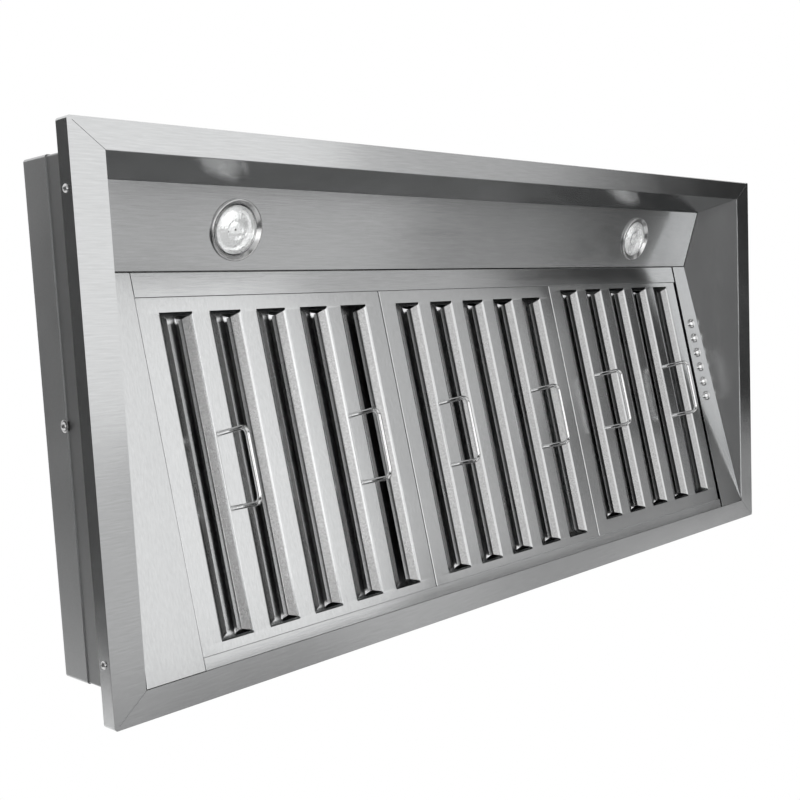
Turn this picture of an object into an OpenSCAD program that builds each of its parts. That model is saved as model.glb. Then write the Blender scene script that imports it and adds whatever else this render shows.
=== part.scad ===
// Range hood insert: a steel liner that hangs in a cabinet over a cooktop.
// Millimetres. The origin is the centre of the face frame's underside, where the
// cabinet's opening is. +X is the cook's right, -Y is the front, +Z is up.

/* [Face frame] */
// Width of the face frame, left to right
frame_w = 1168; // [1120:1:1300]
// Depth of the face frame, front to rear
frame_d = 525; // [505:1:560]
// Width of each side face
side_face_w = 34; // [30:0.5:44]
// Width of the front face
front_face_w = 26; // [24:0.5:34]
// Width of the rear face
rear_face_w = 28; // [26:0.5:36]
// Height of the lip turned up round the outside
lip_h = 18; // [14:0.5:30]
// Thickness of the frame's sheet
frame_t = 1.2; // [0.8:0.1:1.6]
// Outside radius of the lip's corners
lip_corner_r = 3; // [2:0.5:6]

/* [Casing] */
// Height of the casing's top above the face
casing_h = 121; // [114:0.5:160]
// Distance from the frame's side edge to the casing
casing_side_inset = 23; // [18:0.5:26]
// Distance from the frame's front and rear edges to the casing
casing_end_inset = 20; // [17:0.5:20.5]
// Height of the upper shell's lower edge above the face
shell_edge_h = 82; // [60:0.5:90]
// Overlap of the skirt inside the upper shell
shell_lap = 12; // [9:0.5:20]
// Thickness of the casing and liner sheet
sheet_t = 1; // [0.8:0.1:1.2]

/* [Recess] */
// Height of the deep front corner above the face
corner_h = 57; // [50:0.5:60]
// Inward lean of the side walls from upright, in degrees
side_lean = 19; // [10:0.5:20]
// Inward lean of the front wall from upright, in degrees
front_lean = 16; // [10:0.5:18]
// Length of the light panel up its slope
light_panel_l = 85; // [80:0.5:95]
// Rise of the light panel from level, in degrees
light_panel_rise = 15; // [10:0.5:18]
// Gap left at the seams between liner panels
seam = 0.5; // [0.3:0.1:1]
// Gap between the light panel's ends and the side walls
light_panel_gap = 1.6; // [0.5:0.1:2.5]

/* [Filters] */
// Width of a filler panel at its narrow front end
filler_end_w = 38; // [36:0.1:50]
// Gap between neighbouring filters
filter_gap = 0.8; // [0.6:0.1:2]
// Gap left between the right filter and the filler beside it
right_gap = 3.2; // [0:0.1:5]
// Height of the pan that each filter is folded into
pan_h = 20; // [19:0.5:22]
// Thickness of the baffle sheet
baffle_t = 0.8; // [0.6:0.1:1]
// Land between neighbouring slots, at least
slot_land = 20; // [18:0.5:21]
// Width of a slot
slot_w = 38.5; // [36:0.5:40]
// Land beyond each end of the slots
end_land = 20.3; // [18:0.1:24]
// Land beside the outer slots
side_land = 23.9; // [22:0.1:27]
// Depth that a baffle flap leans in towards the slot's middle
flap_reach = 10.7; // [9:0.1:12]
// Rise of a baffle flap over that reach
flap_rise = 4.6; // [4:0.1:6]
// Height of the upright return on a flap's edge
flap_return = 6.8; // [5:0.1:7.5]
// Visible width of the front rail
front_rail_w = 24.6; // [22:0.1:28]
// Visible width of the rear rail
rear_rail_w = 12.6; // [11:0.1:14]
// Length of a filter's rear end that rests on the rear rail
rear_hold = 11; // [9:0.5:11]
// Length of a filter's front end that the front rail covers
front_hold = 5.5; // [4:0.5:8]
// Free height between a rail and the filter lying on it
filter_play = 0.8; // [0.5:0.1:1]
// Distance that the right filter stands pushed up into the front rail
right_filter_up = 8.8; // [0:0.1:11]

/* [Handles] */
// Diameter of the handle wire
wire_d = 5; // [4:0.5:6]
// Distance between a handle's legs
handle_span = 75; // [60:1:90]
// Height of a handle's outer edge above the baffle
handle_h = 39; // [25:0.5:42]
// Radius of the handle's bends, to the middle of the wire
handle_bend_r = 8; // [6:0.5:12]

/* [Lamps] */
// Distance between the two lamps
lamp_spacing = 730; // [500:1:800]
// Distance of the lamps from the deep corner, up the panel
lamp_up = 43; // [40:0.5:46]
// Outside diameter of a lamp's trim ring
lamp_d = 63; // [56:0.5:66]
// Diameter of the lens
lens_d = 50; // [44:0.5:52]
// Diameter of the hole in the light panel
lamp_hole_d = 56; // [54:0.5:57]
// Depth of the lamp behind the panel
lamp_body_h = 34; // [28:0.5:38]

/* [Buttons] */
// Distance of the first button from the valley, down the slope
button_first = 91.4; // [80:0.1:100]
// Distance from button to button
button_pitch = 23.1; // [20:0.1:24]
// Diameter of a button
button_d = 13.6; // [9:0.1:15]
// Height that a button stands out
button_h = 4.4; // [2.5:0.1:5]
// Travel of a button
button_travel = 2; // [1:0.1:3]

/* [Blower] */
// Width of the blower box
box_w = 360; // [340:1:420]
// Depth of the blower box
box_d = 340; // [330:1:380]
// Height of the blower box above the casing
box_h = 215; // [212:1:260]
// Diameter of the blower wheel
wheel_d = 144; // [130:1:148]
// Width of the blower wheel
wheel_w = 112; // [90:1:116]
// Blades on the wheel
blade_n = 32; // [20:1:36]
// Width of the scroll housing
scroll_w = 130; // [124:1:150]
// Outside diameter of the duct collar
collar_d = 200; // [190:1:210]
// Height of the duct collar above the blower box
collar_h = 75; // [60:1:100]

/* [Hidden] */
$fn = 64;

// Running clearance between bodies that move past each other
clearance = 0.35;
// Overrun of every cut past the face it starts from
cut = 2;

// Face frame and casing
inner_half_w = frame_w / 2 - side_face_w;
inner_front_y = -frame_d / 2 + front_face_w;
inner_rear_y = frame_d / 2 - rear_face_w;
shell_w = frame_w - 2 * casing_side_inset;
shell_d = frame_d - 2 * casing_end_inset;
skirt_w = shell_w - 2 * sheet_t;
skirt_d = shell_d - 2 * sheet_t;
skirt_h = shell_edge_h + shell_lap;
mitre_line_w = 0.5;
mitre_line_depth = 0.4;
foot_turn_h = lip_h - 4 * sheet_t;

// Screws: radius of shank and head, head height, and the holes they pass
screw_r = 2;
screw_hole_r = 2.2;
screw_head_r = 3.8;
screw_head_h = 2.4;
washer_r = 6;
washer_t = 0.8;
screw_l = 6;
frame_screw_inset = 58.5;
frame_screw_y = frame_d / 2 - frame_screw_inset;
frame_screw_z = 10;
shell_screw_z = shell_edge_h + washer_r / 2;
shell_screw_step = shell_w / 3;
shell_screw_xs = [-shell_screw_step, 0, shell_screw_step];

// Recess: the deep corner, the valley and the slope that the filters lie on
corner_y = inner_front_y + corner_h * tan(front_lean);
valley_y = corner_y + light_panel_l * cos(light_panel_rise);
valley_z = corner_h + light_panel_l * sin(light_panel_rise);
slope_run = inner_rear_y - valley_y;
slope_a = atan2(valley_z, slope_run);
slope_l = norm([slope_run, valley_z]);
liner_return = 4;

// Filters, measured down the slope from the valley and across from the middle
filter_pitch = 2 * (half_w_at(valley_z) - filler_end_w) / 3;
filter_w = filter_pitch - filter_gap;
filter_front = front_rail_w - front_hold;
filter_rear = slope_l - rear_rail_w + rear_hold;
filter_l = filter_rear - filter_front;
slot_l = filter_l - 2 * end_land;
slot_span = filter_w - 2 * side_land - slot_w;
slot_n = floor(slot_span / (slot_w + slot_land)) + 1;
slot_pitch = slot_span / (slot_n - 1);
filter_lift = sheet_t + filter_play;
row_half_w = 1.5 * filter_pitch;
rear_slot_n = slot_n - 1;
rear_baffle_z = pan_h - 2 * baffle_t;
pan_hem = 7;
flap_end_gap = 2.5;
flap_end_mitre = 6.5;
drain_w = 14;
drain_h = 3;

// Handles
wire_r = wire_d / 2;
stud_r = 2;
stud_hole_r = 2.15;
stud_l = 7;
nut_r = 4.2;
nut_h = 3.2;

// Lamps
lamp_r = lamp_d / 2;
lens_r = lens_d / 2;
lamp_rim_h = 3;
lens_sink = 2.2;
lens_t = 3;
barrel_t = 1.2;
fin_n = 10;
fin_t = 1.4;

// Buttons and their switch block
button_r = button_d / 2;
button_x = (row_half_w + half_w_at(slope_z(button_first + 2.5 * button_pitch))) / 2;
button_n = 6;
collar_r = button_r + 1;
collar_t = 1.2;
stem_r = 2.5;
stem_l = 9;
block_gap = collar_t + button_travel + 2 * clearance;
block_h = stem_l + button_travel + collar_t;
block_w = 18;
block_end = 12;

// Control box, hung from the casing's top behind the buttons
ctrl_w = 58;
ctrl_d = 150;
ctrl_h = 40;
ctrl_x = shell_w / 2 - ctrl_w / 2 - 6 * sheet_t;
ctrl_y = 52;
knockout_r = 11;
knockout_y = ctrl_y - ctrl_d / 4;
board_t = 1.6;
board_gap = 6;

// Blower
box_t = 1.2;
box_foot = 16;
shaft_r = 4;
shaft_play = 0.05;
wheel_r = wheel_d / 2;
wheel_y = 60;
wheel_rise = 100;
wheel_z = casing_h + wheel_rise;
scroll_t = 1.2;
scroll_gap_min = 8;
scroll_gap_max = 43;
scroll_r_min = wheel_r + scroll_gap_min;
scroll_r_max = wheel_r + scroll_gap_max;
scroll_steps = 40;
neck_d = 110;
blade_chord = 13;
inlet_lap = 3;
inlet_r = wheel_r - blade_chord + inlet_lap;
blade_t = 0.9;
blade_a = 35;
hub_r = 12;
motor_r = 42;
motor_l = 84;
motor_gap = 10;
shaft_end = 12;
duct_ledge = 2;
duct_hole_r = collar_d / 2 - duct_ledge;
opening_w = box_w - 2 * box_foot;
opening_d = box_d - 2 * box_foot;

// Duct collar and its two-leaf damper
collar_r_out = collar_d / 2;
collar_wall = 1;
collar_flange = 16;
damper_rise = 26;
damper_z = casing_h + box_h + damper_rise;
rod_r = 2.5;
rod_play = 0.1;
knuckle_r = 4;
knuckle_l = 14;
flap_t = 0.8;
flap_play = 2;
flap_r = collar_r_out - collar_wall - flap_play;
stop_w = 8;
damper_knuckle_shares = [-0.72, -0.24, 0.24, 0.72];

// Hanging holes in the casing's top
hang_hole_r = 4.25;
hang_inset_x = 32;
hang_inset_y = 42;
hang_x = shell_w / 2 - hang_inset_x;
hang_y = shell_d / 2 - hang_inset_y;

steel = "silver";
dark_steel = "dimgray";
zinc = "lightsteelblue";
black = [0.12, 0.12, 0.13];

// Half the recess's width between its leaning walls, at a height z
function half_w_at(z) = inner_half_w - z * tan(side_lean);
// Height of the slope at a distance down it from the valley
function slope_z(t) = valley_z - t * sin(slope_a);

// Places its children on the slope: +Y runs down to the rear, +Z is square to it
module on_slope() {
    translate([0, valley_y, valley_z]) rotate([-slope_a, 0, 0]) children();
}

// Places its children on the light panel: +Y runs up it, +Z is square to it
module on_light_panel() {
    translate([0, corner_y, corner_h]) rotate([light_panel_rise, 0, 0]) children();
}

// A rectangle with round corners, centred
module round_plate(w, d, r) {
    square([w - 2 * r, d], center = true);
    square([w, d - 2 * r], center = true);
    for (sx = [-1, 1], sy = [-1, 1])
        translate([sx * (w / 2 - r), sy * (d / 2 - r)]) circle(r);
}

// A rectangular tube of sheet standing on a level, from z0 up to z1
module sheet_ring(w, d, r, t, z0, z1) {
    translate([0, 0, z0]) linear_extrude(z1 - z0) difference() {
        round_plate(w, d, r);
        round_plate(w - 2 * t, d - 2 * t, max(r - t, t / 2));
    }
}

// A hole through both long walls, with its axis along X, at every side screw
module side_holes(r, y, z) {
    for (s = [-1, 1]) translate([0, s * y, z]) rotate([0, 90, 0])
        cylinder(h = frame_w + 2 * cut, r = r, center = true);
}

module face_frame() {
    color(steel) difference() {
        union() {
            linear_extrude(frame_t) difference() {
                round_plate(frame_w, frame_d, lip_corner_r);
                translate([-inner_half_w, inner_front_y])
                    square([2 * inner_half_w, inner_rear_y - inner_front_y]);
            }
            sheet_ring(frame_w, frame_d, lip_corner_r, frame_t, 0, lip_h);
        }
        mitre_lines();
        side_holes(screw_hole_r, frame_screw_y, frame_screw_z);
    }
}

// The weld line across each corner of the face, from inner to outer corner
module mitre_lines() {
    for (s = [-1, 1]) {
        mitre_line([s * inner_half_w, inner_front_y], [s * frame_w / 2, -frame_d / 2]);
        mitre_line([s * inner_half_w, inner_rear_y], [s * frame_w / 2, frame_d / 2]);
    }
}

module mitre_line(from, to) {
    run = to - from;
    translate([from[0], from[1], -cut]) rotate(atan2(run[1], run[0]))
        translate([-cut, -mitre_line_w / 2, 0])
            cube([norm(run) + cut - 2 * lip_corner_r, mitre_line_w, cut + mitre_line_depth]);
}

// Skirt of the casing: its foot lies on the frame's back and turns up inside the lip
module casing_skirt() {
    foot_w = frame_w - 2 * frame_t;
    foot_d = frame_d - 2 * frame_t;
    color(steel) difference() {
        union() {
            sheet_ring(skirt_w, skirt_d, 2 * sheet_t, sheet_t, frame_t, skirt_h);
            translate([0, 0, frame_t]) linear_extrude(sheet_t) difference() {
                round_plate(foot_w, foot_d, lip_corner_r);
                round_plate(skirt_w - sheet_t, skirt_d - sheet_t, sheet_t);
            }
            sheet_ring(foot_w, foot_d, lip_corner_r, sheet_t, frame_t, foot_turn_h);
        }
        side_holes(screw_hole_r, frame_screw_y, frame_screw_z);
        shell_screw_places() translate([0, 0, -cut]) cylinder(h = 2 * screw_l, r = screw_hole_r);
    }
}

// Places its children at each shell screw, with +Z pointing out of the casing
module shell_screw_places() {
    for (s = [-1, 1]) {
        translate([s * (shell_w / 2 - 2 * sheet_t), 0, shell_screw_z]) rotate([0, s * 90, 0]) children();
        for (x = shell_screw_xs)
            translate([x, s * (shell_d / 2 - 2 * sheet_t), shell_screw_z]) rotate([-s * 90, 0, 0]) children();
    }
}

module upper_shell() {
    color(steel) difference() {
        union() {
            sheet_ring(shell_w, shell_d, 3 * sheet_t, sheet_t, shell_edge_h, casing_h);
            translate([0, 0, casing_h - sheet_t]) linear_extrude(sheet_t)
                round_plate(shell_w, shell_d, 3 * sheet_t);
            top_beads();
        }
        translate([-opening_w / 2, -opening_d / 2, casing_h - cut - sheet_t])
            cube([opening_w, opening_d, 2 * cut + sheet_t]);
        for (sx = [-1, 1], sy = [-1, 1]) translate([sx * hang_x, sy * hang_y, casing_h - cut])
            cylinder(h = 2 * cut, r = hang_hole_r);
        translate([ctrl_x, knockout_y, casing_h - cut]) cylinder(h = 2 * cut, r = knockout_r);
        shell_screw_places() translate([0, 0, -cut]) cylinder(h = 2 * screw_l, r = screw_hole_r);
    }
}

// Stiffening beads pressed up out of the casing's top, each side of the blower
module top_beads() {
    bead_h = 2.5 * sheet_t;
    bead_r = 6 * sheet_t;
    bead_l = shell_d - 2 * box_foot - 8 * bead_r;
    bead_x0 = box_w / 2 + box_foot + 4 * bead_r;
    bead_step = (ctrl_x - ctrl_w / 2 - bead_x0) / 3;
    for (s = [-1, 1], i = [0:2]) translate([s * (bead_x0 + i * bead_step), 0, casing_h - sheet_t])
        linear_extrude(sheet_t + bead_h) {
            square([2 * bead_r, bead_l], center = true);
            for (e = [-1, 1]) translate([0, e * bead_l / 2]) circle(bead_r);
        }
}

// A pan-head screw along +Z: the head stands on z = 0 and the shank runs down
module pan_screw(shank) {
    translate([0, 0, -shank]) cylinder(h = shank, r = screw_r);
    rotate_extrude() intersection() {
        translate([0, screw_head_h - screw_head_r * 1.25]) circle(screw_head_r * 1.25);
        square([screw_head_r, screw_head_h]);
    }
}

module frame_screws() {
    color(steel) for (sx = [-1, 1], sy = [-1, 1])
        translate([sx * frame_w / 2, sy * frame_screw_y, frame_screw_z]) rotate([0, sx * 90, 0])
            pan_screw(screw_l);
}

// Screws through the lap of the shell over the skirt, each on its washer
module shell_screws() {
    color(dark_steel) shell_screw_places() translate([0, 0, 2 * sheet_t]) {
        cylinder(h = washer_t, r = washer_r);
        translate([0, 0, washer_t]) pan_screw(screw_l);
    }
}

// The half space beyond a leaning side wall's visible face, drawn in by a gap
module beyond_side(side, gap) {
    reach = 2 * casing_h;
    translate([side * (inner_half_w - gap), 0, 0]) rotate([0, -side * side_lean, 0])
        translate([side > 0 ? 0 : -reach, -frame_d, -reach])
            cube([reach, 2 * frame_d, 2 * reach]);
}

// A panel's profile in the YZ plane, drawn across the recess between its side walls
module across_recess(gap) {
    difference() {
        translate([-inner_half_w, 0, 0]) rotate([90, 0, 90]) linear_extrude(2 * inner_half_w) children();
        for (s = [-1, 1]) beyond_side(s, gap);
    }
}

// Front wall of the recess, with a return on the frame's back and one over the light panel
module recess_front_wall() {
    lean = [sin(front_lean), cos(front_lean)];
    out = [-cos(front_lean), sin(front_lean)];
    foot = [inner_front_y + frame_t * tan(front_lean), frame_t];
    head = [corner_y, corner_h];
    color(steel) across_recess(0) polygon([
        foot, head,
        head + sheet_t * out,
        foot + sheet_t * (out + lean * tan(front_lean)) + [0, sheet_t],
        [foot[0] - liner_return, frame_t + sheet_t],
        [foot[0] - liner_return, frame_t]]);
}

// A side wall in its own leaning plane, under the light panel and the slope
module side_wall(side) {
    up = 1 / cos(side_lean);
    foot_x = inner_half_w - frame_t * tan(side_lean);
    color(steel) difference() {
        union() {
            translate([side * inner_half_w, 0, 0]) rotate([0, -side * side_lean, 0])
                translate([side > 0 ? 0 : -sheet_t, 0, 0]) rotate([90, 0, 90]) linear_extrude(sheet_t)
                    polygon([
                        [inner_front_y, 0],
                        [corner_y, corner_h * up],
                        [valley_y, valley_z * up],
                        [inner_rear_y, 0]]);
            translate([side > 0 ? foot_x : -foot_x - 2 * liner_return, inner_front_y + seam, frame_t])
                cube([2 * liner_return, inner_rear_y - inner_front_y - 2 * seam, sheet_t]);
        }
        translate([-frame_w, -frame_d, -frame_d]) cube([2 * frame_w, 2 * frame_d, frame_d + frame_t]);
    }
}

module light_panel() {
    color(steel) difference() {
        across_recess(light_panel_gap) translate([corner_y, corner_h]) rotate(light_panel_rise) {
            square([light_panel_l - seam, sheet_t]);
            translate([light_panel_l - seam - sheet_t, 0]) square([sheet_t, 4 * liner_return]);
            square([sheet_t, 2 * liner_return]);
        }
        lamp_places() translate([0, 0, -cut]) cylinder(h = sheet_t + 2 * cut, r = lamp_hole_d / 2);
    }
}

// Places its children at both lamps, with the panel's visible face at z = 0
module lamp_places() {
    for (side = [-1, 1]) lamp_place(side) children();
}

module lamp_place(side) {
    on_light_panel() translate([side * lamp_spacing / 2, lamp_up, 0]) children();
}

// Trim ring: a stepped, rounded rim on the panel and a barrel through the hole
module lamp_trim(side) {
    barrel_r = lamp_hole_d / 2 - clearance;
    mid_r = (lamp_r + lens_r) / 2;
    half = (lamp_r - lens_r) / 2;
    color("gainsboro") lamp_place(side) rotate_extrude() polygon(concat(
        [for (a = [180:15:360]) [mid_r + half * cos(a), lamp_rim_h * sin(a)]],
        [[barrel_r, 0], [barrel_r, 4 * lamp_rim_h], [barrel_r - barrel_t, 4 * lamp_rim_h],
         [barrel_r - barrel_t, lamp_rim_h], [lens_r, lamp_rim_h]]));
}

// Lens: a flat rim, a ring of small facets and a bullseye in the middle
module lamp_lens(side) {
    r = lens_r - clearance / 2;
    color([0.85, 0.92, 0.95, 0.5]) lamp_place(side) translate([0, 0, lens_sink - lens_t]) rotate_extrude()
        polygon([
            [0, -0.30 * lens_t], [0.40 * r, -0.10 * lens_t], [0.44 * r, 0.12 * lens_t],
            [0.84 * r, 0.12 * lens_t], [0.88 * r, 0], [r, 0], [r, lens_t], [0, lens_t]]);
}

// Reflector cup behind the lens
module lamp_reflector(side) {
    r = lens_r - clearance / 2;
    depth = 4 * lens_t;
    color("gainsboro") lamp_place(side) translate([0, 0, lens_sink]) rotate_extrude() polygon([
        [r, 0], [r, sheet_t], [0.45 * r, depth], [0, depth],
        [0, depth - sheet_t], [0.42 * r, depth - sheet_t], [0.9 * r, 0]]);
}

// Lamp body: the driver can, its cooling fins and two spring clips
module lamp_body(side) {
    r = lamp_hole_d / 2 - barrel_t - 2 * clearance;
    base = lens_sink + 4 * lens_t;
    clip_w = 4 * barrel_t;
    color(black) lamp_place(side) {
        translate([0, 0, base]) cylinder(h = lamp_body_h - base, r = 0.62 * r);
        translate([0, 0, base]) cylinder(h = 2 * fin_t, r = r);
        for (i = [0:fin_n - 1]) rotate(i * 360 / fin_n) translate([0, -fin_t / 2, base])
            cube([0.96 * r, fin_t, lamp_body_h - base - fin_t]);
    }
}

// A filler panel beside the filters, with a return folded up along them
module filler(side, holes) {
    wall_top = half_w_at(valley_z) - seam;
    wall_foot = half_w_at(frame_t) - seam;
    edge = row_half_w + seam + (side > 0 ? right_gap : 0);
    rear = slope_l - seam;
    return_h = pan_h;
    color(steel) difference() {
        on_slope() {
            linear_extrude(sheet_t) polygon([
                [side * edge, seam], [side * wall_top, seam],
                [side * wall_foot, rear], [side * edge, rear]]);
            translate([side > 0 ? edge : -edge - sheet_t, seam, 0])
                cube([sheet_t, slope_l - return_h * 2, return_h]);
        }
        if (holes) button_places() translate([0, 0, -cut])
            cylinder(h = sheet_t + 2 * cut, r = button_r + clearance);
    }
}

// Places its children at each button, on the right filler's visible face
module button_places() {
    for (i = [0:button_n - 1]) button_place(i) children();
}

module button_place(i) {
    on_slope() translate([button_x, button_first + i * button_pitch, 0]) children();
}

// Front rail: a channel that the filters' front ends slide up into
module front_rail() {
    channel_h = filter_lift + pan_h + filter_play + sheet_t;
    color(steel) on_slope() translate([-row_half_w, 0, 0]) rotate([90, 0, 90])
        linear_extrude(2 * row_half_w) {
            translate([seam, 0]) square([front_rail_w - seam, sheet_t]);
            translate([seam, 0]) square([sheet_t, channel_h]);
            translate([seam, channel_h - sheet_t]) square([front_rail_w - 2 * seam, sheet_t]);
        }
}

// Rear rail: the ledge and stop that the filters' rear ends drop onto
module rear_rail() {
    stop_h = pan_h / 2;
    color(steel) on_slope() translate([-row_half_w, slope_l, 0]) rotate([90, 0, 90])
        linear_extrude(2 * row_half_w) {
            translate([-rear_rail_w, 0]) square([rear_rail_w - seam, sheet_t]);
            translate([-sheet_t - seam / 2, 0]) square([sheet_t, stop_h]);
        }
}

// Places its children at a filter: 0 is the left, 1 the middle and 2 the right one
module filter_place(i) {
    up = i == 2 ? right_filter_up : 0;
    on_slope() translate([(i - 1) * filter_pitch, filter_front - up, filter_lift]) children();
}

// Across places of the slots of one baffle, from its middle
function slot_xs(n) = [for (j = [0:n - 1]) (j - (n - 1) / 2) * slot_pitch];

// A flap's section, from its bend at the slot's edge towards the slot's middle
module flap_section() {
    over = baffle_t / cos(atan2(flap_rise, flap_reach));
    polygon([
        [baffle_t, 0], [0, 0], [-flap_reach, flap_rise],
        [-flap_reach, flap_rise + flap_return],
        [-flap_reach + baffle_t, flap_rise + flap_return],
        [-flap_reach + baffle_t, over + flap_rise * (1 - baffle_t / flap_reach)],
        [0, over], [baffle_t, baffle_t]]);
}

// One flap along a slot's right edge, with its ends mitred like the real stamping
module flap() {
    intersection() {
        translate([slot_w / 2, slot_l, 0]) rotate([90, 0, 0]) linear_extrude(slot_l) flap_section();
        translate([slot_w / 2, 0, -cut]) linear_extrude(pan_h) polygon([
            [cut, flap_end_gap], [0, flap_end_gap],
            [-flap_reach, flap_end_mitre], [-flap_reach - cut, flap_end_mitre],
            [-flap_reach - cut, slot_l - flap_end_mitre], [-flap_reach, slot_l - flap_end_mitre],
            [0, slot_l - flap_end_gap], [cut, slot_l - flap_end_gap]]);
    }
}

// A stamped baffle: a sheet with n slots, each with its two flaps folded in
module baffle(n, w, l) {
    linear_extrude(baffle_t) difference() {
        translate([-w / 2, (filter_l - l) / 2]) square([w, l]);
        for (x = slot_xs(n)) translate([x - slot_w / 2, end_land]) square([slot_w, slot_l]);
        children();
    }
    for (x = slot_xs(n)) translate([x, end_land, 0]) {
        flap();
        mirror([1, 0, 0]) flap();
    }
}

// Places its children at a filter's four handle legs, on its face
module leg_places() {
    handle_places() for (e = [-1, 1]) translate([0, e * handle_span / 2, 0]) children();
}

// Places its children at the middle of each handle, on the lands beside the end slots
module handle_places() {
    land_x = (slot_n / 2 - 1) * slot_pitch;
    for (s = [-1, 1]) translate([s * land_x, filter_l / 2, 0]) children();
}

// Pan of a filter: the front baffle with its four sides folded up and hemmed in
module filter_pan(i) {
    color(steel) filter_place(i) difference() {
        union() {
            baffle(slot_n, filter_w, filter_l) leg_places() circle(stud_hole_r);
            linear_extrude(pan_h) pan_outline(baffle_t);
            translate([0, 0, pan_h - baffle_t]) linear_extrude(baffle_t) pan_outline(pan_hem);
        }
        for (x = slot_xs(rear_slot_n)) translate([x - drain_w / 2, filter_l - cut, 2 * baffle_t])
            cube([drain_w, 2 * cut, drain_h]);
    }
}

// The pan's rim in plan, folded in by a width
module pan_outline(in) {
    translate([-filter_w / 2, 0]) difference() {
        square([filter_w, filter_l]);
        translate([in, in]) square([filter_w - 2 * in, filter_l - 2 * in]);
    }
}

// Rear baffle: the same stamping turned over, its lands behind the front slots
module filter_rear_baffle(i) {
    inset = baffle_t + seam / 2;
    color("lightgray") filter_place(i) translate([0, 0, rear_baffle_z + baffle_t]) mirror([0, 0, 1])
        baffle(rear_slot_n, filter_w - 2 * inset, filter_l - 2 * inset);
}

// Two wire handles, each with threaded studs through the pan
module filter_handles(i) {
    color("gainsboro") filter_place(i) handle_places() rotate([180, 0, 0]) handle();
}

// One handle standing up along +Z, its legs apart along Y
module handle() {
    grip_z = handle_h - wire_r;
    leg_l = grip_z - handle_bend_r;
    grip_l = handle_span - 2 * handle_bend_r;
    for (e = [-1, 1]) translate([0, e * handle_span / 2, 0]) {
        translate([0, 0, -stud_l]) cylinder(h = stud_l + wire_r, r = stud_r);
        cylinder(h = leg_l, r = wire_r);
        translate([0, -e * handle_bend_r, leg_l]) rotate([90, 0, e * 90])
            rotate_extrude(angle = 90) translate([handle_bend_r, 0]) circle(wire_r);
    }
    translate([0, 0, grip_z]) rotate([90, 0, 0]) cylinder(h = grip_l, r = wire_r, center = true);
}

module filter_nuts(i) {
    color(zinc) filter_place(i) leg_places() translate([0, 0, baffle_t]) difference() {
        cylinder(h = nut_h, r = nut_r, $fn = 6);
        translate([0, 0, -cut]) cylinder(h = nut_h + 2 * cut, r = stud_r);
    }
}

// Push button: a low dome, a collar that keeps it in, and a stem into the switch
module button(i) {
    dome_h = button_h / 2;
    sphere_r = (button_r * button_r + dome_h * dome_h) / (2 * dome_h);
    color("gainsboro") button_place(i) {
        translate([0, 0, dome_h - button_h]) cylinder(h = button_h - dome_h + sheet_t + clearance, r = button_r);
        translate([0, 0, dome_h - button_h]) rotate([180, 0, 0]) intersection() {
            translate([0, 0, dome_h - sphere_r]) sphere(sphere_r, $fn = 96);
            cylinder(h = dome_h, r = button_r);
        }
        translate([0, 0, sheet_t + clearance]) cylinder(h = collar_t, r = collar_r);
        translate([0, 0, sheet_t + clearance]) cylinder(h = collar_t + stem_l, r = stem_r);
    }
}

// Six-way switch block, standing on the filler on a foot at each end
module switch_block() {
    l = (button_n - 1) * button_pitch + 2 * block_end;
    base = sheet_t + block_gap;
    color(black) on_slope() difference() {
        translate([button_x, button_first + (button_n - 1) * button_pitch / 2, 0]) {
            translate([-block_w / 2, -l / 2, base]) cube([block_w, l, block_h]);
            for (e = [-1, 1]) translate([-block_w / 2, e * (l / 2 - sheet_t) - sheet_t, sheet_t])
                cube([block_w, 2 * sheet_t, base]);
        }
        for (i = [0:button_n - 1])
            translate([button_x, button_first + i * button_pitch, base - cut])
                cylinder(h = cut + stem_l + button_travel, r = stem_r + clearance);
    }
}

// Control box: a folded steel tray hung under the casing's top
module control_box() {
    top = casing_h - sheet_t;
    color(zinc) difference() {
        translate([ctrl_x - ctrl_w / 2, ctrl_y - ctrl_d / 2, top - ctrl_h]) cube([ctrl_w, ctrl_d, ctrl_h]);
        translate([ctrl_x - ctrl_w / 2 + sheet_t, ctrl_y - ctrl_d / 2 + sheet_t, top - ctrl_h - cut])
            cube([ctrl_w - 2 * sheet_t, ctrl_d - 2 * sheet_t, ctrl_h + cut - sheet_t]);
        translate([ctrl_x, knockout_y, top - cut]) cylinder(h = 2 * cut, r = knockout_r);
    }
}

module control_box_cover() {
    top = casing_h - sheet_t - ctrl_h;
    color(zinc) {
        translate([ctrl_x - ctrl_w / 2, ctrl_y - ctrl_d / 2, top - sheet_t]) cube([ctrl_w, ctrl_d, sheet_t]);
        translate([ctrl_x - ctrl_w / 2 - sheet_t, ctrl_y - ctrl_d / 2, top - sheet_t])
            cube([sheet_t, ctrl_d, 8 * sheet_t]);
    }
}

module control_board() {
    z = casing_h - 2 * sheet_t;
    w = ctrl_w - 8 * sheet_t;
    d = ctrl_d / 2;
    y0 = ctrl_y - ctrl_d / 2 + ctrl_d - d - 3 * sheet_t;
    color("darkgreen") translate([ctrl_x - w / 2, y0, z - board_gap - board_t]) cube([w, d, board_t]);
    color("white") for (sx = [0.12, 0.88], sy = [0.06, 0.94])
        translate([ctrl_x - w / 2 + sx * w, y0 + sy * d, z - board_gap]) cylinder(h = board_gap, r = 1.5 * board_t);
    color("white") translate([ctrl_x - w / 4, y0 + d / 4, z - board_gap - board_t - 10 * board_t])
        cube([w / 2, d / 3, 10 * board_t]);
}

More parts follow.
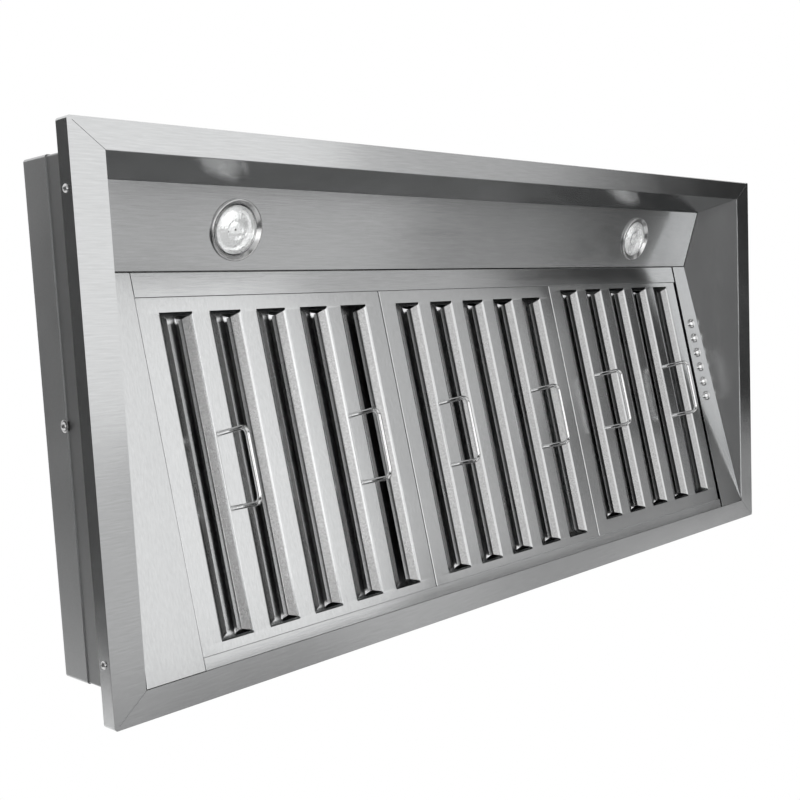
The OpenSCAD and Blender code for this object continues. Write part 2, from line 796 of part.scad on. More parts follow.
module terminal_block() {
    z = casing_h - 2 * sheet_t;
    n = 4;
    pole_w = 10;
    pole_d = 18;
    pole_h = 13;
    x0 = ctrl_x - n * pole_w / 2;
    y0 = ctrl_y - ctrl_d / 2 + 3 * sheet_t;
    color("ivory") difference() {
        translate([x0, y0, z - pole_h]) cube([n * pole_w, pole_d / 2, pole_h]);
        for (k = [0:n - 1]) translate([x0 + (k + 0.5) * pole_w, y0 + pole_d / 4, z - pole_h - cut])
            cylinder(h = cut + pole_h / 2, r = pole_w / 4);
    }
}

// Blower box: four walls and a top, with a foot turned out on the casing
module blower_box() {
    color(zinc) difference() {
        union() {
            sheet_ring(box_w, box_d, 3 * box_t, box_t, casing_h, casing_h + box_h);
            translate([0, 0, casing_h + box_h - box_t]) linear_extrude(box_t) round_plate(box_w, box_d, 3 * box_t);
            translate([0, 0, casing_h]) linear_extrude(box_t) difference() {
                round_plate(box_w + 2 * box_foot, box_d + 2 * box_foot, 3 * box_t);
                round_plate(box_w - box_t, box_d - box_t, 2 * box_t);
            }
        }
        translate([0, 0, casing_h + box_h - cut - box_t]) cylinder(h = 2 * cut + box_t, r = duct_hole_r);
    }
}

module blower_box_screws() {
    x = box_w / 2 + box_foot / 2;
    y = box_d / 2 + box_foot / 2;
    z = casing_h + box_t;
    color(steel) for (s = [-1, 1]) {
        for (e = [-1, 1]) translate([s * x, e * y * 0.8, z]) pan_head();
        for (e = [-1, 1]) translate([e * x * 0.6, s * y, z]) pan_head();
    }
}

module pan_head() {
    rotate_extrude() intersection() {
        translate([0, screw_head_h - screw_head_r * 1.25]) circle(screw_head_r * 1.25);
        square([screw_head_r, screw_head_h]);
    }
}

// Outline of the scroll: a spiral that opens into a straight neck, drawn in by a wall
function scroll_r(k) = scroll_r_min + (scroll_r_max - scroll_r_min) * k;
function scroll_outline(in, top) = concat(
    [for (i = [0:scroll_steps]) let (k = i / scroll_steps, a = 90 - 270 * k)
        [(scroll_r(k) - in) * cos(a), (scroll_r(k) - in) * sin(a)]],
    [[-scroll_r_max + in, top], [-scroll_r_max + neck_d - in, top],
     [-scroll_r_max + neck_d - in, scroll_r_min - in]]);

// Turns a profile drawn in plan so that it stands across X at the wheel's centre
module at_wheel() {
    translate([0, wheel_y, wheel_z]) rotate([90, 0, 90]) children();
}

module blower_scroll() {
    neck_top = casing_h + box_h - box_t - wheel_z;
    plate = 2 * duct_hole_r + box_foot;
    color(zinc) at_wheel() difference() {
        union() {
            translate([0, 0, -scroll_w / 2]) linear_extrude(scroll_w) polygon(scroll_outline(0, neck_top));
            translate([-wheel_y - plate / 2, neck_top - scroll_t, -plate / 2]) cube([plate, scroll_t, plate]);
        }
        translate([0, 0, -scroll_w / 2 + scroll_t]) linear_extrude(scroll_w - 2 * scroll_t)
            polygon(scroll_outline(scroll_t, neck_top + cut));
        translate([0, 0, -scroll_w]) cylinder(h = 2 * scroll_w, r = inlet_r);
    }
}

module motor() {
    color(black) at_wheel() difference() {
        union() {
            translate([0, 0, -motor_gap - motor_l]) cylinder(h = motor_l, r = motor_r);
            translate([0, 0, -motor_gap]) cylinder(h = motor_gap / 4, r = 3 * shaft_r);
            translate([0, 0, -motor_gap - motor_l - motor_gap / 2]) cylinder(h = motor_gap / 2, r = motor_r / 2);
        }
        translate([0, 0, -motor_gap - motor_l * 0.7]) cylinder(h = motor_l, r = shaft_r + shaft_play);
    }
}

// Bracket: a band round the motor and three arms to the scroll's inlet plate
module motor_bracket() {
    band_w = 12;
    arm_w = 14;
    arm_r = inlet_r + arm_w;
    color(zinc) at_wheel() translate([0, 0, -scroll_w / 2 - 3 * box_t]) {
        translate([0, 0, -band_w]) linear_extrude(band_w) difference() {
            circle(motor_r + 1.5 * box_t);
            circle(motor_r);
        }
        for (k = [0:2]) rotate(k * 120 + 90) {
            translate([motor_r + box_t / 2, -arm_w / 2, -box_t]) cube([arm_r - motor_r, arm_w, box_t]);
            translate([arm_r - box_t, -arm_w / 2, -box_t]) cube([box_t, arm_w, 4 * box_t]);
            translate([arm_r - box_t, -arm_w / 2, 2 * box_t]) cube([arm_w, arm_w, box_t]);
        }
    }
}

module run_capacitor() {
    cap_r = 18;
    cap_l = 62;
    tab = cap_r / 6;
    x = box_w / 2 - box_t - cap_r;
    y = -box_d / 2 + 3 * cap_r;
    z = casing_h + cap_r + 2 * box_foot;
    color("whitesmoke") translate([x, y, z]) {
        cylinder(h = cap_l, r = cap_r);
        translate([0, 0, cap_l]) cylinder(h = tab, r = cap_r / 2);
        for (s = [-1, 1]) translate([s * cap_r / 4 - tab / 2, 0, cap_l + tab]) cube([tab, tab / 3, 2 * tab]);
    }
}

// Blower wheel: forward-curved blades between a middle plate and two end rings
module fan_wheel() {
    ring_t = 2;
    plate_t = 1.6;
    hub_l = 0.75 * hub_r;
    color("darkgray") at_wheel() {
        translate([0, 0, -wheel_w / 2]) linear_extrude(wheel_w) blades();
        for (z = [-wheel_w / 2, wheel_w / 2 - ring_t]) translate([0, 0, z]) linear_extrude(ring_t)
            difference() {
                circle(wheel_r);
                circle(wheel_r - blade_chord);
            }
        translate([0, 0, -plate_t / 2]) linear_extrude(plate_t) difference() {
            circle(wheel_r);
            circle(shaft_r);
        }
        translate([0, 0, -plate_t / 2]) linear_extrude(hub_l) difference() {
            circle(hub_r);
            circle(shaft_r);
        }
    }
}

module blades() {
    for (k = [0:blade_n - 1]) rotate(k * 360 / blade_n)
        translate([wheel_r - 0.5 * blade_chord, 0]) rotate(blade_a)
            square([blade_chord, blade_t], center = true);
}

module fan_shaft() {
    color(steel) at_wheel() translate([0, 0, -motor_gap - motor_l * 0.6])
        cylinder(h = motor_gap + motor_l * 0.6 + shaft_end, r = shaft_r);
}

// Round duct collar on a flange, with the ring that the damper leaves close onto
module duct_collar() {
    base = casing_h + box_h;
    ring_top = damper_z - flap_t / 2 - clearance - base;
    color(zinc) translate([0, 0, base]) difference() {
        union() {
            cylinder(h = collar_h, r = collar_r_out);
            cylinder(h = collar_wall, r = collar_r_out + collar_flange);
        }
        translate([0, 0, ring_top]) cylinder(h = collar_h, r = collar_r_out - collar_wall);
        translate([0, 0, -cut]) cylinder(h = ring_top + 2 * cut, r = flap_r - stop_w);
        translate([0, 0, -cut]) cylinder(h = ring_top + cut - collar_wall, r = collar_r_out - collar_wall);
        translate([0, 0, damper_z - base]) rotate([90, 0, 0])
            cylinder(h = 3 * collar_r_out, r = rod_r, center = true);
    }
}

// The rod across the collar that both damper leaves hang on
module damper_rod() {
    l = 2 * collar_r_out - collar_wall;
    color(steel) translate([0, 0, damper_z]) rotate([90, 0, 0]) cylinder(h = l, r = rod_r, center = true);
}

// One leaf: a half disc with two knuckles, its neighbour's knuckles between them
module damper_flap(side) {
    first = side > 0 ? 0 : 1;
    ys = [for (k = [first:2:len(damper_knuckle_shares) - 1]) damper_knuckle_shares[k] * flap_r];
    color("lightgray") translate([0, 0, damper_z]) difference() {
        union() {
            translate([0, 0, -flap_t / 2]) linear_extrude(flap_t) intersection() {
                circle(flap_r);
                translate([side > 0 ? knuckle_r + clearance : -flap_r - knuckle_r - clearance, -flap_r])
                    square([flap_r, 2 * flap_r]);
            }
            for (y = ys) translate([0, y, 0]) {
                rotate([90, 0, 0]) cylinder(h = knuckle_l, r = knuckle_r, center = true);
                translate([side > 0 ? 0 : -2 * knuckle_r, -knuckle_l / 2, -flap_t / 2])
                    cube([2 * knuckle_r, knuckle_l, flap_t]);
            }
        }
        rotate([90, 0, 0]) cylinder(h = 3 * flap_r, r = rod_r + rod_play, center = true);
    }
}

face_frame();
casing_skirt();
upper_shell();
frame_screws();
shell_screws();
recess_front_wall();
side_wall(-1);  // recess_left_wall
side_wall(1);  // recess_right_wall
light_panel();
filler(-1, false);  // left_filler
filler(1, true);  // right_filler
front_rail();
rear_rail();
lamp_trim(-1);  // left_lamp_trim
lamp_lens(-1);  // left_lamp_lens
lamp_reflector(-1);  // left_lamp_reflector
lamp_body(-1);  // left_lamp_body
lamp_trim(1);  // right_lamp_trim
lamp_lens(1);  // right_lamp_lens
lamp_reflector(1);  // right_lamp_reflector
lamp_body(1);  // right_lamp_body
filter_pan(0);  // left_filter_pan
filter_rear_baffle(0);  // left_filter_rear_baffle
filter_handles(0);  // left_filter_handles
filter_nuts(0);  // left_filter_nuts
filter_pan(1);  // middle_filter_pan
filter_rear_baffle(1);  // middle_filter_rear_baffle
filter_handles(1);  // middle_filter_handles
filter_nuts(1);  // middle_filter_nuts
filter_pan(2);  // right_filter_pan
filter_rear_baffle(2);  // right_filter_rear_baffle
filter_handles(2);  // right_filter_handles
filter_nuts(2);  // right_filter_nuts
button(0);  // button_1
button(1);  // button_2
button(2);  // button_3
button(3);  // button_4
button(4);  // button_5
button(5);  // button_6
switch_block();
control_box();
control_box_cover();
control_board();
terminal_block();
blower_box();
blower_box_screws();
blower_scroll();
motor();
motor_bracket();
run_capacitor();
fan_wheel();
fan_shaft();
duct_collar();
damper_rod();
damper_flap(-1);  // left_damper_flap
damper_flap(1);  // right_damper_flap
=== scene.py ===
import math

import bmesh
import bpy
from mathutils import Matrix, Vector


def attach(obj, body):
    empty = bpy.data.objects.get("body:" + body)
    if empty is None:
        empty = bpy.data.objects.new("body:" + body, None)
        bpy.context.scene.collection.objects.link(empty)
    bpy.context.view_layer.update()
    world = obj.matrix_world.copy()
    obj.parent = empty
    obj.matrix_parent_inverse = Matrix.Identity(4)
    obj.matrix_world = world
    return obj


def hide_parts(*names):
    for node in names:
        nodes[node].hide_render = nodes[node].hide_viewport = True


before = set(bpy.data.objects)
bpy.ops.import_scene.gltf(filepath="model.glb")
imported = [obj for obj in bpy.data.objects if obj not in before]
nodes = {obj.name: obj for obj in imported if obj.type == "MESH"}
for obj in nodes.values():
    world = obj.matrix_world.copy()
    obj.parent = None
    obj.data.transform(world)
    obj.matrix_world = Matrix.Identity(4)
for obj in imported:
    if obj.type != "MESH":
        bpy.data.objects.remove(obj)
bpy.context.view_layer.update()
quarter = math.pi / 2
touching = 1e-6

# Sizes of the hood in metres, the same as in the part's source
inner_half_w = 0.550
inner_front_y = -0.2365
inner_rear_y = 0.2345
corner_h = 0.057
front_lean = math.radians(16)
side_lean = math.radians(19)
panel_rise = math.radians(15)
panel_l = 0.085
lamp_x = 0.365
lamp_up = 0.043
corner_y = inner_front_y + corner_h * math.tan(front_lean)
valley_y = corner_y + panel_l * math.cos(panel_rise)
valley_z = corner_h + panel_l * math.sin(panel_rise)
slope_a = math.atan2(valley_z, inner_rear_y - valley_y)
slope_l = math.hypot(valley_z, inner_rear_y - valley_y)

filler_end_w = 0.038
filter_gap = 0.0008
front_rail_w = 0.0246
front_hold = 0.0055
rear_rail_w = 0.0126
rear_hold = 0.011
filter_pitch = 2 * (inner_half_w - valley_z * math.tan(side_lean) - filler_end_w) / 3
filter_w = filter_pitch - filter_gap
filter_front = front_rail_w - front_hold
filter_l = slope_l - rear_rail_w + rear_hold - filter_front
filter_lift = 0.0018
right_filter_up = 0.0088
pan_h = 0.020
pan_hem = 0.007
baffle_t = 0.0008
baffle_fold = 0.0011
rear_baffle_less = 0.0021
slot_w = 0.0385
side_land = 0.0239
slot_pitch = (filter_w - 2 * side_land - slot_w) / 4
end_land = 0.0203
slot_l = filter_l - 2 * end_land
slot_end_cut = 0.0025
flap_reach = 0.0107
flap_rise = 0.0046
flap_taper = 0.004
flap_return = 0.0068

# Where a folded-in flap's dull finish starts past the face, and how sharply
dull_from = 0.0009
dull_sharpness = 2500.0

on_slope = Matrix.Translation((0, valley_y, valley_z)) @ Matrix.Rotation(-slope_a, 4, "X")
on_panel = Matrix.Translation((0, corner_y, corner_h)) @ Matrix.Rotation(panel_rise, 4, "X")


# Shader nodes

def maths(tree, operation, a, b):
    node = tree.nodes.new("ShaderNodeMath")
    node.operation = operation
    for socket, value in zip(node.inputs, (a, b)):
        if isinstance(value, (int, float)):
            socket.default_value = value
        else:
            tree.links.new(value, socket)
    return node.outputs[0]


def scaled(tree, value, factor, plus):
    """A value times a factor, plus a number or another value."""
    return maths(tree, "ADD", maths(tree, "MULTIPLY", value, factor), plus)


def noise(tree, vector, scale, detail, roughness):
    node = tree.nodes.new("ShaderNodeTexNoise")
    node.inputs["Scale"].default_value = scale
    node.inputs["Detail"].default_value = detail
    node.inputs["Roughness"].default_value = roughness
    tree.links.new(vector, node.inputs["Vector"])
    return node.outputs["Fac"]


def cells(tree, vector, scale):
    node = tree.nodes.new("ShaderNodeTexVoronoi")
    node.inputs["Scale"].default_value = scale
    tree.links.new(vector, node.inputs["Vector"])
    return node.outputs


def stretch(tree, vector, scale):
    node = tree.nodes.new("ShaderNodeVectorMath")
    node.operation = "MULTIPLY"
    tree.links.new(vector, node.inputs[0])
    node.inputs[1].default_value = scale
    return node.outputs[0]


def turned(tree, vector, turn):
    node = tree.nodes.new("ShaderNodeMapping")
    node.inputs["Rotation"].default_value = (0, 0, turn)
    tree.links.new(vector, node.inputs["Vector"])
    return node.outputs[0]


def shades(tree, value, low, high, darker, lighter):
    """A colour between two, where a value runs from low to high."""
    ramp = tree.nodes.new("ShaderNodeValToRGB")
    for element, position, colour in zip(ramp.color_ramp.elements, (low, high), (darker, lighter)):
        element.position = position
        element.color = (*colour, 1)
    tree.links.new(value, ramp.inputs["Fac"])
    return ramp.outputs["Color"]


def past_level(tree, coords, direction, level):
    """One well past a level along a direction, nothing before it."""
    node = tree.nodes.new("ShaderNodeVectorMath")
    node.operation = "DOT_PRODUCT"
    tree.links.new(coords, node.inputs[0])
    node.inputs[1].default_value = direction
    past = maths(tree, "SUBTRACT", node.outputs["Value"], level)
    steep = maths(tree, "MULTIPLY", past, dull_sharpness)
    return maths(tree, "MAXIMUM", maths(tree, "MINIMUM", steep, 1.0), 0.0)


def bump(tree, shader, height, strength, distance):
    node = tree.nodes.new("ShaderNodeBump")
    node.inputs["Strength"].default_value = strength
    node.inputs["Distance"].default_value = distance
    tree.links.new(height, node.inputs["Height"])
    tree.links.new(node.outputs["Normal"], shader.inputs["Normal"])


# Shader groups that turn a vector into values

def group(name, labels):
    """A group with one vector socket in and a float socket out for each label."""
    tree = bpy.data.node_groups.new(name, "ShaderNodeTree")
    tree.interface.new_socket("Vector", in_out="INPUT", socket_type="NodeSocketVector")
    for label in labels:
        tree.interface.new_socket(label, in_out="OUTPUT", socket_type="NodeSocketFloat")
    start = tree.nodes.new("NodeGroupInput")
    return tree, start.outputs["Vector"], tree.nodes.new("NodeGroupOutput").inputs


def build_brushing():
    """Brush lines along X of the given vector: a fine scratch height and a broad streak value."""
    tree, vector, results = group("brushing", ("Scratches", "Streaks"))
    fine = noise(tree, stretch(tree, vector, (12, 1700, 1700)), 1.0, 3.0, 0.6)
    broad = noise(tree, stretch(tree, vector, (40, 640, 640)), 1.0, 3.0, 0.6)
    tree.links.new(fine, results["Scratches"])
    tree.links.new(broad, results["Streaks"])
    return tree


def build_handling():
    """Cloudy wiping marks of a few centimetres, and small faint spots."""
    tree, vector, results = group("handling", ("Clouds", "Spots"))
    clouds = noise(tree, vector, 14.0, 3.0, 0.55)
    peaks = maths(tree, "SUBTRACT", noise(tree, vector, 160.0, 2.0, 0.6), 0.62)
    spots = maths(tree, "MULTIPLY", maths(tree, "MAXIMUM", peaks, 0.0), 4.0)
    tree.links.new(clouds, results["Clouds"])
    tree.links.new(spots, results["Spots"])
    return tree


brushing = build_brushing()
handling = build_handling()


def place_group(tree, shared, vector):
    node = tree.nodes.new("ShaderNodeGroup")
    node.node_tree = shared
    tree.links.new(vector, node.inputs["Vector"])
    return node.outputs


# Materials

def material(name, colour, metallic, roughness):
    mat = bpy.data.materials.new(name)
    mat.use_nodes = True
    tree = mat.node_tree
    shader = tree.nodes["Principled BSDF"]
    shader.inputs["Base Color"].default_value = (*colour, 1)
    shader.inputs["Metallic"].default_value = metallic
    shader.inputs["Roughness"].default_value = roughness
    coords = tree.nodes.new("ShaderNodeTexCoord")
    return mat, tree, shader, coords.outputs["Object"]


def steel_tint(tone):
    return tone * 0.985, tone * 0.995, tone


def brushed_steel(name, tone, roughness, turn, streak, flaps=None):
    """Stainless sheet with its brush lines along X, turned about Z.

    Flaps are a direction and a level along it past which the sheet is folded in and duller."""
    mat, tree, shader, coords = material(name, steel_tint(tone), 1.0, roughness)
    lines = place_group(tree, brushing, turned(tree, coords, turn))
    marks = place_group(tree, handling, coords)
    value = scaled(tree, lines["Streaks"], 0.75, maths(tree, "MULTIPLY", marks["Clouds"], 0.25))
    dark = tone * (1 - 2.2 * streak)
    light = min(1.0, tone * (1 + 1.6 * streak))
    colour = shades(tree, value, 0.3, 0.7, steel_tint(dark), steel_tint(light))
    rough = scaled(tree, marks["Clouds"], 0.10, roughness - 0.05)
    rough = scaled(tree, marks["Spots"], 0.02, rough)
    rough = scaled(tree, lines["Streaks"], 0.02, rough)
    if flaps:
        folded_in = past_level(tree, coords, *flaps)
        grain = noise(tree, stretch(tree, coords, (330, 520, 520)), 1.0, 4.0, 0.75)
        dull = shades(tree, grain, 0.36, 0.64, (tone * 0.56,) * 3, (tone * 0.8,) * 3)
        mix = tree.nodes.new("ShaderNodeMixRGB")
        tree.links.new(folded_in, mix.inputs["Fac"])
        tree.links.new(colour, mix.inputs["Color1"])
        tree.links.new(dull, mix.inputs["Color2"])
        colour = mix.outputs["Color"]
        rough = scaled(tree, folded_in, 0.10, rough)
    tree.links.new(colour, shader.inputs["Base Color"])
    tree.links.new(rough, shader.inputs["Roughness"])
    bump(tree, shader, lines["Scratches"], 0.35, 0.00006)
    shader.inputs["Anisotropic"].default_value = 0.35
    return mat


def polished(name, tone, roughness):
    """Bright plated or polished metal with faint wiping marks."""
    mat, tree, shader, coords = material(name, (tone, tone, tone), 1.0, roughness)
    clouds = place_group(tree, handling, coords)["Clouds"]
    colour = shades(tree, clouds, 0.3, 0.7, (tone * 0.94,) * 3, (min(1, tone * 1.04),) * 3)
    tree.links.new(colour, shader.inputs["Base Color"])
    tree.links.new(scaled(tree, clouds, 0.06, roughness - 0.03), shader.inputs["Roughness"])
    return mat


def zinc_sheet(name, tone, roughness):
    """Galvanised sheet: crystal patches about a centimetre across."""
    mat, tree, shader, coords = material(name, (tone, tone, tone * 1.02), 1.0, roughness)
    grey = tree.nodes.new("ShaderNodeRGBToBW")
    tree.links.new(cells(tree, coords, 70)["Color"], grey.inputs["Color"])
    colour = shades(tree, grey.outputs[0], 0.2, 0.8, (tone * 0.86, tone * 0.88, tone * 0.9),
                    (tone * 1.08, tone * 1.1, tone * 1.12))
    tree.links.new(colour, shader.inputs["Base Color"])
    rough = scaled(tree, grey.outputs[0], 0.16, roughness - 0.08)
    tree.links.new(rough, shader.inputs["Roughness"])
    return mat


def moulded(name, colour, roughness, metallic=0.0):
    """Plastic or paint with a fine moulded grain."""
    mat, tree, shader, coords = material(name, colour, metallic, roughness)
    clouds = place_group(tree, handling, coords)["Clouds"]
    dark = tuple(c * 0.9 for c in colour)
    light = tuple(min(1, c * 1.1 + 0.004) for c in colour)
    tree.links.new(shades(tree, clouds, 0.3, 0.7, dark, light), shader.inputs["Base Color"])
    tree.links.new(scaled(tree, clouds, 0.12, roughness - 0.06), shader.inputs["Roughness"])
    bump(tree, shader, noise(tree, coords, 1400.0, 2.0, 0.5), 0.3, 0.0001)
    return mat


def clear_glass(name):
    """A lamp lens: glass pressed in small cells."""
    mat, tree, shader, coords = material(name, (0.985, 0.99, 0.99), 0.0, 0.06)
    shader.inputs["Transmission Weight"].default_value = 0.9
    shader.inputs["IOR"].default_value = 1.45
    bump(tree, shader, cells(tree, coords, 420)["Distance"], 0.6, 0.0006)
    clouds = place_group(tree, handling, coords)["Clouds"]
    tree.links.new(scaled(tree, clouds, 0.05, 0.03), shader.inputs["Roughness"])
    return mat


slope_up = on_slope.to_3x3() @ Vector((0, 0, 1))
filter_level = slope_up.dot(on_slope @ Vector((0, 0, filter_lift))) + dull_from

steel_across = brushed_steel("steel_brushed_across", 0.60, 0.15, 0.0, 0.038)
steel_up = brushed_steel("steel_brushed_front_to_rear", 0.60, 0.16, quarter, 0.036)
skirt_steel = brushed_steel("skirt_sheet", 0.36, 0.36, 0.0, 0.02)
casing_steel = brushed_steel("casing_sheet", 0.50, 0.34, 0.0, 0.03)
filter_steel = brushed_steel("filter_sheet", 0.64, 0.17, quarter, 0.036, (slope_up, filter_level))
inner_steel = brushed_steel("inner_baffle_sheet", 0.74, 0.2, quarter, 0.02)
chrome = polished("chrome", 0.90, 0.08)
satin_chrome = polished("satin_chrome", 0.70, 0.22)
screw_steel = polished("screw_steel", 0.66, 0.28)
mirror = polished("reflector_mirror", 0.95, 0.12)
zinc = zinc_sheet("galvanised_sheet", 0.52, 0.42)
motor_paint = moulded("motor_paint", (0.03, 0.03, 0.032), 0.4)
switch_plastic = moulded("switch_plastic", (0.03, 0.03, 0.03), 0.5)
terminal_plastic = moulded("terminal_plastic", (0.72, 0.68, 0.58), 0.5)
board_green = moulded("board_lacquer", (0.02, 0.14, 0.06), 0.35)
capacitor_shell = moulded("capacitor_shell", (0.66, 0.66, 0.64), 0.3)
lamp_casting = moulded("lamp_casting", (0.09, 0.09, 0.095), 0.5, 0.6)
lens_glass = clear_glass("lens_glass")


# Pieces

def piece(bm, name, body, replaced, mat, place=None, modifiers=(), smooth=True):
    """A finished piece that stands for CAD nodes; a place is worked into its mesh."""
    if place is not None:
        bmesh.ops.transform(bm, matrix=place, verts=bm.verts)
    mesh = bpy.data.meshes.new(name)
    bm.to_mesh(mesh)
    bm.free()
    for face in mesh.polygons:
        face.use_smooth = smooth
    mesh.materials.append(mat)
    obj = bpy.data.objects.new(name, mesh)
    bpy.context.scene.collection.objects.link(obj)
    for kind, settings in modifiers:
        mod = obj.modifiers.new(kind.lower(), kind)
        for key, value in settings.items():
            setattr(mod, key, value)
    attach(obj, body)
    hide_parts(*replaced)


def folded(width, segments=3):
    """A modifier that rounds the folds of a sheet."""
    return ("BEVEL", {"width": width, "segments": segments, "limit_method": "ANGLE",
                      "angle_limit": math.radians(15), "use_clamp_overlap": True, "profile": 0.5})


even_shading = ("WEIGHTED_NORMAL", {"keep_sharp": False, "weight": 50})
sheet_wall = ("SOLIDIFY", {"thickness": baffle_t, "offset": -1.0, "use_even_offset": True})


def round_outer_folds(bm, radius):
    """Rounds the lowest outer edges and the outer upright edges of a frame."""
    reach = [max(abs(v.co[k]) for v in bm.verts) for k in range(2)]
    level = min(v.co.z for v in bm.verts)

    def on_side(edge, k):
        return all(abs(abs(v.co[k]) - reach[k]) < 1e-5 for v in edge.verts)

    def lowest(edge):
        return all(v.co.z - level < 1e-5 for v in edge.verts)

    def chosen(edge):
        outer = (on_side(edge, 0), on_side(edge, 1))
        return all(outer) or any(outer) and lowest(edge)

    edges = [e for e in bm.edges
             if e.calc_length() > 0.004 and len(e.link_faces) == 2 and chosen(e)]
    bmesh.ops.bevel(bm, geom=edges, offset=radius, segments=7, profile=0.5, affect="EDGES")


def softened(node, mat, width=0.0005, segments=2, outer_fold=0.0):
    """A copy of a CAD node with its edges eased, and its outermost lower fold rounder."""
    bm = bmesh.new()
    bm.from_mesh(nodes[node].data)
    bmesh.ops.remove_doubles(bm, verts=bm.verts, dist=touching)
    bmesh.ops.dissolve_limit(bm, angle_limit=math.radians(1), verts=bm.verts, edges=bm.edges)
    if outer_fold:
        round_outer_folds(bm, outer_fold)
    piece(bm, node + "_sheet", "hood", [node], mat, None,
          [folded(width, segments), even_shading])


# Filters

def cut_through(bm, point, direction):
    bmesh.ops.bisect_plane(bm, geom=bm.verts[:] + bm.edges[:] + bm.faces[:], plane_co=point,
                           plane_no=direction)


def made_of(geometry, kind):
    return [g for g in geometry if isinstance(g, kind)]


def edges_between(geometry, verts):
    return [e for e in made_of(geometry, bmesh.types.BMEdge) if all(v in verts for v in e.verts)]


def slotted_sheet(n, w, l):
    """A baffle sheet: slots with their two flaps folded in, drawn in the filter's own plane."""
    bm = bmesh.new()
    bmesh.ops.create_grid(bm, x_segments=1, y_segments=1, size=0.5)
    bmesh.ops.scale(bm, vec=(w, l, 1), verts=bm.verts)
    bmesh.ops.translate(bm, vec=(0, filter_l / 2, 0), verts=bm.verts)
    middles = [(k - (n - 1) / 2) * slot_pitch for k in range(n)]
    y0, y1 = end_land, end_land + slot_l
    for x in [m + s * slot_w / 2 for m in middles for s in (-1, 1)]:
        cut_through(bm, (x, 0, 0), (1, 0, 0))
    for y in (y0, y0 + slot_end_cut, y1 - slot_end_cut, y1):
        cut_through(bm, (0, y, 0), (0, 1, 0))

    def in_slot(face):
        c = face.calc_center_median()
        return y0 < c.y < y1 and any(abs(c.x - m) < slot_w / 2 for m in middles)

    bmesh.ops.delete(bm, geom=[f for f in bm.faces if in_slot(f)], context="FACES_ONLY")
    bmesh.ops.delete(bm, geom=[e for e in bm.edges if not e.link_faces], context="EDGES")

    def bends_at(x):
        low, high = y0 + slot_end_cut / 2, y1 - slot_end_cut / 2
        return [e for e in bm.edges
                if all(abs(v.co.x - x) < touching and low < v.co.y < high for v in e.verts)]

    for m in middles:
        for side in (-1, 1):
            bends = bends_at(m + side * slot_w / 2)
            steps = ((-side * flap_reach, flap_taper, flap_rise), (0, 0, flap_return))
            for dx, dy, dz in steps:
                made = bmesh.ops.extrude_edge_only(bm, edges=bends)["geom"]
                tips = made_of(made, bmesh.types.BMVert)
                for v in tips:
                    v.co += Vector((dx, dy if v.co.y < filter_l / 2 else -dy, dz))
                bends = edges_between(made, tips)
    return bm


def filter_pan_mesh():
    """The pan: the front sheet with its four sides turned up and hemmed inwards."""
    bm = slotted_sheet(5, filter_w, filter_l)
    half = filter_w / 2

    def rim(edge):
        return edge.is_boundary and (all(abs(abs(v.co.x) - half) < touching for v in edge.verts)
                                     or all(v.co.y < touching for v in edge.verts)
                                     or all(v.co.y > filter_l - touching for v in edge.verts))

    made = bmesh.ops.extrude_edge_only(bm, edges=[e for e in bm.edges if rim(e)])["geom"]
    top = made_of(made, bmesh.types.BMVert)
    bmesh.ops.translate(bm, vec=(0, 0, pan_h), verts=top)
    made = bmesh.ops.extrude_edge_only(bm, edges=edges_between(made, top))["geom"]
    for v in made_of(made, bmesh.types.BMVert):
        if abs(abs(v.co.x) - half) < touching:
            v.co.x -= math.copysign(pan_hem, v.co.x)
        if v.co.y < touching:
            v.co.y += pan_hem
        elif v.co.y > filter_l - touching:
            v.co.y -= pan_hem
    bmesh.ops.recalc_face_normals(bm, faces=bm.faces)
    return bm


def face_outwards(bm):
    """Turns an open sheet so that the faces of its main plane point out of the hood."""
    bmesh.ops.recalc_face_normals(bm, faces=bm.faces)
    flat = [f for f in bm.faces if abs(f.calc_center_median().z) < touching]
    if sum(f.normal.z * f.calc_area() for f in flat) > 0:
        bmesh.ops.reverse_faces(bm, faces=bm.faces)


sides = ("left", "middle", "right")
for i, side in enumerate(sides):
    body = side + "_filter"
    up = right_filter_up if side == "right" else 0
    place = on_slope @ Matrix.Translation(((i - 1) * filter_pitch, filter_front - up, filter_lift))
    looks = [folded(baffle_fold), sheet_wall, even_shading]
    bm = filter_pan_mesh()
    face_outwards(bm)
    piece(bm, side + "_filter_front_baffle", body, [side + "_filter_pan"], filter_steel,
          place, looks)
    bm = slotted_sheet(4, filter_w - rear_baffle_less, filter_l - rear_baffle_less)
    face_outwards(bm)
    turn_over = Matrix.Translation((0, 0, pan_h - baffle_t)) @ Matrix.Scale(-1, 4, (0, 0, 1))
    bmesh.ops.transform(bm, matrix=turn_over, verts=bm.verts)
    bmesh.ops.reverse_faces(bm, faces=bm.faces)
    piece(bm, side + "_filter_inner_baffle", body, [side + "_filter_rear_baffle"], inner_steel,
          place, looks)


# Sheet metal of the frame, liner and casing

softened("face_frame", steel_across, 0.0009, 3, outer_fold=0.0018)
softened("recess_front_wall", steel_across)
softened("recess_left_wall", steel_up)
softened("recess_right_wall", steel_up)
softened("light_panel", steel_across)
softened("left_filler", steel_up)
softened("right_filler", steel_up)
softened("front_rail", steel_across)
softened("rear_rail", steel_across)
softened("casing_skirt", skirt_steel, 0.0004)
softened("upper_shell", casing_steel, 0.0004)
softened("blower_box", zinc)


# Lamp rings and reflectors

